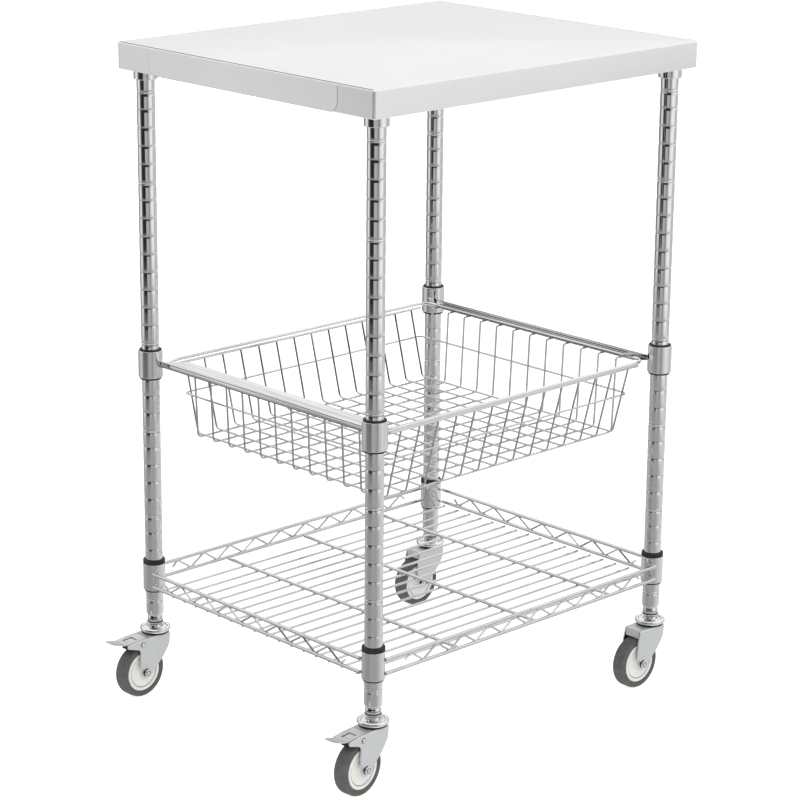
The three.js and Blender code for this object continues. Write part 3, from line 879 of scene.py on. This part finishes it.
def along_axle(place, x=AXLE_X, z=AXLE_Z):
    """From a lathe about Z to one about the axle."""
    return place @ Matrix.Translation((x, 0, z)) @ Matrix.Rotation(-math.pi / 2, 4, "X")


def standing(y=0):
    """From a plate that lies flat to one that stands along the caster, y to its side."""
    return Matrix(((1, 0, 0, 0), (0, 0, -1, y), (0, 1, 0, 0), (0, 0, 0, 1)))


def hexagon(radius):
    turns = [math.pi * k / 3 for k in range(6)]
    return [(radius * math.cos(t), radius * math.sin(t)) for t in turns]


# (radius, height) in mm: a dark ring painted as shadow under the cup, from the cup's foot up; the
# adapter between cup and post; its dark lines, painted as shade; and its lock ring.
CUP_SHADE = ((16.8, -0.1), (19.6, -0.1), (19, 2.4), (16.8, 2.4))
ADAPTER = (
    (16.4, 96.4), (12.5, 95.6), (9.6, 96.6), (8.6, 99.5), (8.4, 105.0), (9.8, 106.2),
    (10.8, 107.6), (10.8, 113.0), (10.3, 113.6), (10.3, 116.6), (0, 116.6),
)
ADAPTER_SHADE_LINES = ((10.9, 110.6), (11.5, 106.0), (9.4, 102.2))
LOCK_RING = ((10.9, 103.6), (11.4, 104.4), (11.4, 105.4), (8, 106.2), (8, 102.8))
LOCK_NUT_RADIUS, LOCK_NUT_TALL, LOCK_NUT_Z = 9.6 * MM, 4.4 * MM, 99.6 * MM


def build_head(corner, place):
    """Kingpin, rolled raceway cup with a dished top, neck and the adapter under the post."""
    low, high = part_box(f"caster_head_{corner}")
    cup = (high.x - low.x) / 2
    kingpin = 8 * MM
    base = 17 * MM
    foot = CROWN + 0.4 * MM
    waist = foot + 2.2 * MM
    roll = 3.4 * MM
    profile = [(0, low.z), (kingpin - 1 * MM, low.z), (kingpin, low.z + 1 * MM), (kingpin, foot)]
    profile += [(base, foot), (base, waist)]
    profile += arc((cup - roll, waist + roll), roll, -80, 125, 14)
    profile += mm(ADAPTER)
    turned(f"caster_cup_{corner}", profile, 48, place, CHROME, "frame", "caster_chrome",
           [f"caster_head_{corner}"], 50, closed=False)
    # A dark ring under the cup and dark lines on the adapter: painted shade.
    bm = bmesh.new()
    add_lathe(bm, raised(CUP_SHADE, foot), 48, True, place)
    for radius, height in mm(ADAPTER_SHADE_LINES):
        line = band(radius - 0.8 * MM, radius, height, height + 0.7 * MM)
        add_lathe(bm, line, 40, True, place)
    piece(f"caster_cup_shade_{corner}", bm, PAINTED_SHADE, "frame", "caster_chrome", sharp=50)
    bm = bmesh.new()
    nut_place = place @ Matrix.Translation((0, 0, LOCK_NUT_Z))
    add_plate(bm, hexagon(LOCK_NUT_RADIUS), LOCK_NUT_TALL, nut_place)
    add_lathe(bm, mm(LOCK_RING), 40, True, place)
    soften(piece(f"caster_nut_{corner}", bm, ZINC, "frame", "caster_chrome"), 0.4 * MM)


# A cheek's outline in mm: its nose as (x, height), going up to the crown's front, and a braked
# one's ear as (x, height from the crown), going from the crown's back to its toe and in again.
NOSE = ((1, 54), (10, 66), (13.4, 72))
EAR = (
    (-22, -0.2), (-44, -0.4), (-62.5, -2.1), (-64.2, -3), (-64.4, -5.4), (-63, -7.6),
    (-45, -13.6), (-42.4, -15), (-41.2, -17.4),
)
CHEEK_BACK = -41 * MM
# Where the painted highlight runs along a cheek's upper edge, as (x, height from the crown) in mm.
EDGE_HIGHLIGHT = ((14, -0.75), (-37, -0.75))
BRAKED_EDGE_HIGHLIGHT = ((14, -0.75), (-22, -0.6), (-44, -0.7), (-61.5, -2.2))


def cheek_outline(braked):
    """A cheek in x and z below the fold, going round from the crown's trailing end."""
    under = CROWN - FORK_FOLD
    foot = arc((AXLE_X, AXLE_Z), 10 * MM, 180, 312, 10)
    nose = [*mm(NOSE), (FORK_FRONT, under)]
    if not braked:
        return [(FORK_BACK, under), (CHEEK_BACK, 72 * MM), *foot, *nose]
    return [(BRAKED_BACK, under), *raised(EAR, CROWN), (CHEEK_BACK, 69 * MM), *foot, *nose]


def build_fork(corner, place):
    """One pressed sheet: a crown folded down into two cheeks, and a skirt where no brake is."""
    braked = corner in BRAKED
    back = BRAKED_BACK if braked else FORK_BACK
    half = FORK_HALF - FORK_GAUGE / 2
    bend = FORK_FOLD - FORK_GAUGE / 2
    turns = [math.radians(90 * k / 4) for k in range(5)]
    strip = [(half - bend + bend * math.cos(t), CROWN - FORK_FOLD + bend * math.sin(t))
             for t in turns]
    section = strip + [(-y, z) for y, z in reversed(strip)]
    bm = bmesh.new()
    rows = [add_row(bm, [(x, y, z) for x in (back, FORK_FRONT)], place) for y, z in section]
    bridge(bm, rows, closed=False)
    outline = cheek_outline(braked)
    for side, row in ((1, rows[0]), (-1, rows[-1])):
        rest = add_row(bm, [(x, side * half, z) for x, z in outline[1:-1]], place)
        bm.faces.new([row[0], *rest, row[1]])
    if not braked:
        wide, top, bottom = half - 2 * MM, CROWN - 2 * MM, 77.5 * MM
        skirt = [(wide, top), (-wide, top), (-wide, bottom), (wide, bottom)]
        bm.faces.new(add_row(bm, [(back, y, z) for y, z in skirt], place))
    obj = piece(f"caster_fork_sheet_{corner}", bm, ZINC, f"caster_{corner}", "zinc",
                [f"caster_fork_{corner}"], 40)
    soften(thicken(obj, FORK_GAUGE), 0.7 * MM, 3)
    build_fork_trim(corner, place, outline)


def build_fork_trim(corner, place, outline):
    """Painted shade on the inner faces of the cheeks, showing as a dark line below the sheet, and
    painted highlights along their upper edges.
    """
    bm = bmesh.new()
    inner = FORK_HALF - FORK_GAUGE - 0.12 * MM
    # Dark plates inside the cheeks, set 1.5 mm lower so they show under the sheet: painted shade.
    shade = [(x, z - 1.5 * MM) for x, z in outline if z > 68 * MM]
    for side in (-1, 1):
        add_plate(bm, shade, 0.2 * MM, place @ standing(side * inner))
    piece(f"caster_cheek_shade_{corner}", bm, PAINTED_SHADE, f"caster_{corner}", "zinc")
    # Brighter steel tubes along the cheeks' upper edges: painted highlight.
    bright_edge = raised(BRAKED_EDGE_HIGHLIGHT if corner in BRAKED else EDGE_HIGHLIGHT, CROWN)
    bm = bmesh.new()
    for side in (-1, 1):
        y = side * (FORK_HALF - 0.55 * MM)
        add_tube(bm, [place @ Vector((x, y, z)) for x, z in bright_edge], 0.62 * MM, 8)
    piece(f"caster_edge_highlight_{corner}", bm, STEEL, f"caster_{corner}", "zinc")


BOLT_RADIUS = 4 * MM
WASHER_RADIUS, WASHER_TALL = 7.4 * MM, 0.8 * MM
NUT_RADIUS, NUT_TALL = 5.9 * MM, 3.2 * MM
# (radius, height over the cheek) in mm: the bolt's end, a dark ring painted as shade between nut
# and washer, and another where the thread leaves the nut.
BOLT_TIP = ((0, 0), (3, 0), (3, 4.9), (2.5, 5), (0, 5))
NUT_GAP = ((6.2, 0.8), (6.2, 1.15), (3.2, 1.15), (3.2, 0.8))
THREAD_LINE = ((3.9, 4.6), (3.9, 4.8), (3.1, 4.8))


def build_bolt(corner, place):
    """A hexagon head, a nut with the bolt's end standing out of it, and a washer under each."""
    face = FORK_HALF
    axle = along_axle(place)
    bm = bmesh.new()
    add_lathe(bm, band(0, BOLT_RADIUS, -face, face), 24, place=axle)
    washer = band(0, WASHER_RADIUS, face, face + WASHER_TALL)
    for side in (-1, 1):
        add_lathe(bm, [(r, side * h) for r, h in washer], 32, place=axle)
        shift = Matrix.Translation((0, 0, side * (face + 3.1 * MM)))
        add_plate(bm, hexagon(NUT_RADIUS), NUT_TALL, axle @ shift)
    add_lathe(bm, [(r, -h) for r, h in raised(BOLT_TIP, face)], 24, place=axle)
    body, node = f"caster_{corner}", f"axle_bolt_{corner}"
    soften(piece(f"axle_fixing_{corner}", bm, CHROME, body, "zinc", [node], 30), 0.35 * MM)
    # Dark rings by the nuts and where the thread leaves them: painted shade.
    bm = bmesh.new()
    add_lathe_pair(bm, raised(NUT_GAP, face), 32, True, axle)
    add_lathe_pair(bm, raised(THREAD_LINE, face), 24, False, axle)
    piece(f"axle_shade_{corner}", bm, PAINTED_SHADE, body, "zinc")


TYRE_SEAT = 29.2 * MM
TYRE_SHOULDER = 5 * MM
TYRE_WALL = ((0, 1.6), (1.2, 0.5), (3, 0.1))
# From the axle outwards, in mm: boss, web and groove as (radius, distance from the middle), then
# the rim and the tyre's seat as (radius, distance below the tyre's side).
HUB_DISH = (
    (4.3, 12.9), (8, 12.9), (8.6, 12.2), (9.4, 8.2), (11, 7.6), (21.2, 8.5), (22.4, 8.6),
    (22.8, 6.2), (23.8, 6.2),
)
HUB_RIM = ((24.1, 1.4), (24.8, 0.8), (27.6, 0.8), (28.3, 1.3), (28.5, 2.4), (29.2, 2.6))


def build_wheel(corner, place):
    """A rounded tyre on a dished hub, whose rim stands out as a bright ring."""
    axle = along_axle(place)
    body = f"wheel_{corner}"
    half = WHEEL.y / 2
    wall = [(TYRE_SEAT + out, half - below) for out, below in mm(TYRE_WALL)]
    shoulder = (WHEEL_RADIUS - TYRE_SHOULDER, half - TYRE_SHOULDER)
    tread = arc(shoulder, TYRE_SHOULDER, 75, 0, 6)
    turned(f"tyre_tread_{corner}", both_faces(wall + tread), 96, axle, RUBBER, body,
           "tyre_rubber", [f"tyre_{corner}"], 60)
    near = mm(HUB_DISH) + [(radius, half - below) for radius, below in mm(HUB_RIM)]
    turned(f"hub_disc_{corner}", both_faces(near), 72, axle, HUB, body,
           "hub_plastic", [f"hub_{corner}"], 40)


# ---- Brake pedals ----
PEDAL_REACH = -87.6 * MM
PEDAL_HALF = 12.5 * MM
PEDAL_GAUGE = 1.6 * MM
# Where the pedal's plate has a row of points, in mm: close together where its outline bends.
PEDAL_ROWS = (
    -24, -30, -40, -45, -52, -57, -60, -64, -66, -67, -70, -73, -77, -80.5, -83.5, -86,
    -87.1, -87.6,
)
WINDOW_BACK, WINDOW_FRONT = -57 * MM, -40 * MM
WINDOW_HALF = 7 * MM
WINDOW_TAB = ((-54.6, -5), (-54.6, 5), (-41.4, 5.6), (-41.4, -5.6))
TAB_SUNK = 1.1 * MM
PEDAL_EAR_BACK, PEDAL_EAR_MIDDLE, PEDAL_EAR_FRONT = -52 * MM, -46 * MM, -28 * MM
PEDAL_EAR_Z = 78.7 * MM
# The shoe is a real part, drawn black so that it also stands in for the shade under the pedal.
SHOE = ((-58.5, 86), (-58.5, 78), (-57, 76.8), (-50, 76.8), (-50, 86))
SHOE_WIDE = 9 * MM
SPRING_X, SPRING_Z = -45 * MM, 82.6 * MM
SPRING_RADIUS, SPRING_LONG, SPRING_WIRE = 2.6 * MM, 11 * MM, 0.7 * MM
SPRING_TURNS, SPRING_STEPS = 7, 12
# A rivet's head with a dimple, as (radius, height over the cheek) in mm.
RIVET_HEAD = ((0, 0), (3.4, 0), (3.4, 0.7), (2.2, 1.4), (1.2, 1.4), (0.9, 0.8), (0, 0.7))


def pedal_line(x):
    """The pedal's height along its length: level with the crown, then a turned-up paddle."""
    root, dip = -24 * MM, -64 * MM
    fall, lift = 0.9 * MM, 6.6 * MM
    top = CROWN - 0.8 * MM
    if x > dip:
        return top - fall * (root - x) / (root - dip)
    return top - fall + lift * ((dip - x) / (dip - PEDAL_REACH)) ** 1.3


def pedal_width(x):
    """Half the width between the ears, a small step in to the paddle, then a blunt end."""
    step, start = -66 * MM, -73 * MM
    if x > step:
        return PEDAL_HALF
    share = min(max(start - x, 0) / (start - PEDAL_REACH), 1)
    return (PEDAL_HALF - 0.7 * MM) * math.sqrt(max(1 - share ** 5, 0.16))


def build_pedal(corner, place):
    """A pressed plate with a window and two ears, with the shoe, spring and pin beneath it."""
    body = f"brake_{corner}"
    columns = [value * MM for value in PEDAL_ROWS]
    bm = bmesh.new()
    rows = []
    for x in columns:
        wide = pedal_width(x)
        inner = min(WINDOW_HALF, wide * 0.56)
        spots = [(x, y, pedal_line(x)) for y in (-wide, -inner, inner, wide)]
        rows.append(add_row(bm, spots, place))
    for index, (lower, upper) in enumerate(zip(rows, rows[1:])):
        between = (columns[index] + columns[index + 1]) / 2
        for k in range(3):
            if k == 1 and WINDOW_BACK < between < WINDOW_FRONT:
                continue
            bm.faces.new((lower[k], lower[k + 1], upper[k + 1], upper[k]))
    tab = [(x, y, pedal_line(x) - TAB_SUNK) for x, y in mm(WINDOW_TAB)]
    bm.faces.new(add_row(bm, tab, place))
    ear = [(PEDAL_EAR_BACK, pedal_line(PEDAL_EAR_BACK)), (PEDAL_EAR_MIDDLE, PEDAL_EAR_Z),
           (PEDAL_EAR_FRONT, PEDAL_EAR_Z), (PEDAL_EAR_FRONT, pedal_line(PEDAL_EAR_FRONT))]
    for side in (-1, 1):
        y = side * (PEDAL_HALF - PEDAL_GAUGE / 2)
        bm.faces.new(add_row(bm, [(x, y, z) for x, z in ear], place))
    node = f"brake_pedal_{corner}"
    obj = piece(f"brake_pedal_plate_{corner}", bm, ZINC, body, "zinc", [node], 40)
    soften(thicken(obj, PEDAL_GAUGE), 0.4 * MM)
    # The black shoe: a real part that is also painted shade under the pedal.
    bm = bmesh.new()
    add_plate(bm, mm(SHOE), SHOE_WIDE, place @ standing())
    piece(f"brake_shoe_{corner}", bm, BLACK, body, "zinc")
    build_spring(corner, place)
    build_pin(corner, place)


def build_spring(corner, place):
    """The coil round the pin that snaps the pedal up or down, seen through the window."""
    count = SPRING_TURNS * SPRING_STEPS
    points = []
    for k in range(count + 1):
        turn = 2 * math.pi * k / SPRING_STEPS
        x = SPRING_X + SPRING_RADIUS * math.cos(turn)
        z = SPRING_Z + SPRING_RADIUS * math.sin(turn)
        points.append(place @ Vector((x, (k / count - 0.5) * SPRING_LONG, z)))
    bm = bmesh.new()
    add_tube(bm, points, SPRING_WIRE, 8)
    piece(f"brake_spring_{corner}", bm, CHROME, f"brake_{corner}", "zinc")


def build_pin(corner, place):
    axle = along_axle(place, PIN_X, PIN_Z)
    face = FORK_HALF
    bm = bmesh.new()
    add_lathe(bm, band(0, 2 * MM, -face, face), 20, place=axle)
    add_lathe_pair(bm, raised(RIVET_HEAD, face), 24, False, axle)
    body, node = f"caster_{corner}", f"brake_pin_{corner}"
    piece(f"brake_rivet_{corner}", bm, CHROME, body, "zinc", [node], 40)
    bm = bmesh.new()
    add_lathe_pair(bm, band(3.4 * MM, 4.1 * MM, face, face + 0.25 * MM), 24, True, axle)
    piece(f"brake_rivet_shade_{corner}", bm, PAINTED_SHADE, body, "zinc")


def build_casters():
    for corner, upright in UPRIGHT.items():
        build_head(corner, upright)
        place = caster_place(corner)
        build_fork(corner, place)
        build_bolt(corner, place)
        build_wheel(corner, place)
        if corner in BRAKED:
            build_pedal(corner, place)


# ---- What is carried over from the CAD as it is ----
def finish_cad_nodes():
    kept = {"worktop_core": BOARD, **{f"post_insert_{corner}": ZINC for corner in CORNERS}}
    for name, material in kept.items():
        mesh = frame["nodes"][name].data
        mesh.materials.clear()
        mesh.materials.append(material)


# ---- Studio ----
FLOOR_HALF = 40.0
FLOOR_SHADE = 0.66
FLOOR_GLOW = 0.75
SURROUND_RADIUS = 3.0
SURROUND_BOTTOM, SURROUND_TOP = -3.5, 2.6
KEY_SPOT = Vector((-2.2, -3.0, 3.4))
KEY_AIM = Vector((0, 0, 0.5))
KEY_POWER = 60
KEY_SIZE = 3.0
# The camera was fitted to the posts' grooves and centre lines in the photograph. The angles are in
# degrees, the yaw from +Y towards +X and the pitch downwards.
CAMERA_SPOT = Vector((-2.5269, -2.6603, 1.5179))
CAMERA_YAW, CAMERA_PITCH, CAMERA_ROLL = 43.727, 16.381, 0.515
CAMERA_LENS = 121.97


def build_floor():
    nodes = Nodes("pale_floor", 0.0, 0.9)
    look = {"Base Color": (FLOOR_SHADE, FLOOR_SHADE, FLOOR_SHADE, 1), "Specular IOR Level": 0.0,
            "Emission Color": (1, 1, 1, 1), "Emission Strength": FLOOR_GLOW}
    for name, value in look.items():
        nodes.shader.inputs[name].default_value = value
    mesh = bpy.data.meshes.new("floor")
    far = FLOOR_HALF
    spots = [(-far, -far, 0), (far, -far, 0), (far, far, 0), (-far, far, 0)]
    mesh.from_pydata(spots, [], [(0, 1, 2, 3)])
    mesh.materials.append(nodes.material)
    floor = placed("floor", mesh)
    floor.visible_glossy = False


# Brightness round the cart as (thousandths of a turn from -X towards -Y, percent). The chrome
# mirrors these: below the horizon a pale sweep, above it a studio that is dark behind the camera.
LOWER_BANDS = (
    (0, 28), (70, 35), (150, 35), (195, 35), (250, 42), (300, 55), (380, 64), (490, 74),
    (600, 62), (720, 46), (800, 42), (880, 36), (950, 30),
)
UPPER_BANDS = (
    (0, 2), (48, 2), (62, 16), (78, 46), (130, 42), (172, 32), (184, 12), (196, 32), (212, 54),
    (240, 74), (275, 90), (315, 92), (345, 80), (377, 60), (424, 48), (485, 62), (546, 50),
    (630, 36), (713, 20), (774, 18), (820, 54), (862, 80), (896, 76), (926, 24), (955, 3),
)
SKY_BANDS = (
    (0, 2), (184, 2), (200, 26), (262, 68), (300, 90), (377, 80), (485, 70), (600, 60), (713, 30),
    (774, 24), (830, 60), (896, 70), (930, 16), (955, 2),
)
HIGH_BANDS = (
    (0, 5), (180, 5), (220, 60), (350, 95), (450, 100), (800, 100), (880, 80), (940, 15),
)
# (height where the next set of bands starts to show, height where it has taken over, bands)
ZONES = ((-0.60, 0.02, UPPER_BANDS), (0.52, 0.64, SKY_BANDS), (1.05, 1.25, HIGH_BANDS))


def bands(nodes, turn, stops):
    ramp = nodes.new("ValToRGB")
    elements = ramp.color_ramp.elements
    while len(elements) < len(stops):
        elements.new(0.5)
    for element, (spot, percent) in zip(elements, stops):
        value = percent / 100
        element.position = spot / 1000
        element.color = (value, value, value * 1.01, 1)
    nodes.link(turn, ramp.inputs["Fac"])
    return ramp.outputs["Color"]


def surround_material():
    nodes = Nodes("surround", 0.0, 1.0)
    radial = nodes.new("TexGradient")
    radial.gradient_type = "RADIAL"
    nodes.link(nodes.place, radial.inputs["Vector"])
    turn = radial.outputs["Fac"]
    split = nodes.new("SeparateXYZ")
    nodes.link(nodes.place, split.inputs["Vector"])
    source = bands(nodes, turn, LOWER_BANDS)
    for start, end, target in ZONES:
        height = nodes.new("MapRange", **{"From Min": start, "From Max": end})
        nodes.link(split.outputs["Z"], height.inputs["Value"])
        blend = nodes.new("Mix")
        blend.data_type = "RGBA"
        nodes.link(height.outputs["Result"], blend.inputs["Factor"])
        nodes.link(source, blend.inputs["A"])
        nodes.link(bands(nodes, turn, target), blend.inputs["B"])
        source = blend.outputs["Result"]
    # It gives light only: the glow takes the place of the usual shader.
    glow = nodes.new("Emission")
    nodes.link(source, glow.inputs["Color"])
    output = nodes.tree.nodes["Material Output"]
    nodes.link(glow.outputs["Emission"], output.inputs["Surface"])
    nodes.tree.nodes.remove(nodes.shader)
    return nodes.material


def build_surround():
    """Screens round the cart, which only its polished metal mirrors."""
    bm = bmesh.new()
    add_lathe(bm, [(SURROUND_RADIUS, SURROUND_BOTTOM), (SURROUND_RADIUS, SURROUND_TOP)], 96)
    mesh = bpy.data.meshes.new("surround")
    bm.to_mesh(mesh)
    bm.free()
    mesh.materials.append(surround_material())
    surround = placed("surround", mesh)
    for ray in ("camera", "diffuse", "shadow", "transmission"):
        setattr(surround, f"visible_{ray}", False)


def build_light():
    world = bpy.data.worlds.new("studio")
    bpy.context.scene.world = world
    world.use_nodes = True
    background = world.node_tree.nodes["Background"]
    background.inputs["Color"].default_value = (1, 1, 1, 1)
    background.inputs["Strength"].default_value = 1.0
    lamp = bpy.data.lights.new("key", "AREA")
    lamp.energy = KEY_POWER
    lamp.size = KEY_SIZE
    key = placed("key", lamp)
    key.location = KEY_SPOT
    key.rotation_euler = (KEY_AIM - KEY_SPOT).to_track_quat("-Z", "Y").to_euler()
    key.visible_glossy = False


def build_camera():
    yaw, pitch, roll = (math.radians(value) for value in (CAMERA_YAW, CAMERA_PITCH, CAMERA_ROLL))
    flat = math.cos(pitch)
    ahead = Vector((math.sin(yaw) * flat, math.cos(yaw) * flat, -math.sin(pitch)))
    right = Vector((math.cos(yaw), -math.sin(yaw), 0))
    up = right.cross(ahead)
    level = right * math.cos(roll) + up * math.sin(roll)
    upright = up * math.cos(roll) - right * math.sin(roll)
    turn = Matrix((level, upright, -ahead)).transposed()
    data = bpy.data.cameras.new("camera")
    data.lens = CAMERA_LENS
    data.sensor_width = 36
    camera = placed("camera", data)
    camera.matrix_world = Matrix.Translation(CAMERA_SPOT) @ turn.to_4x4()
    bpy.context.scene.camera = camera


build_worktop()
build_posts()
build_collars()
build_rails()
build_basket()
build_shelf()
build_casters()
finish_cad_nodes()
build_floor()
build_surround()
build_light()
build_camera()
bpy.context.scene.view_settings.view_transform = "Standard"
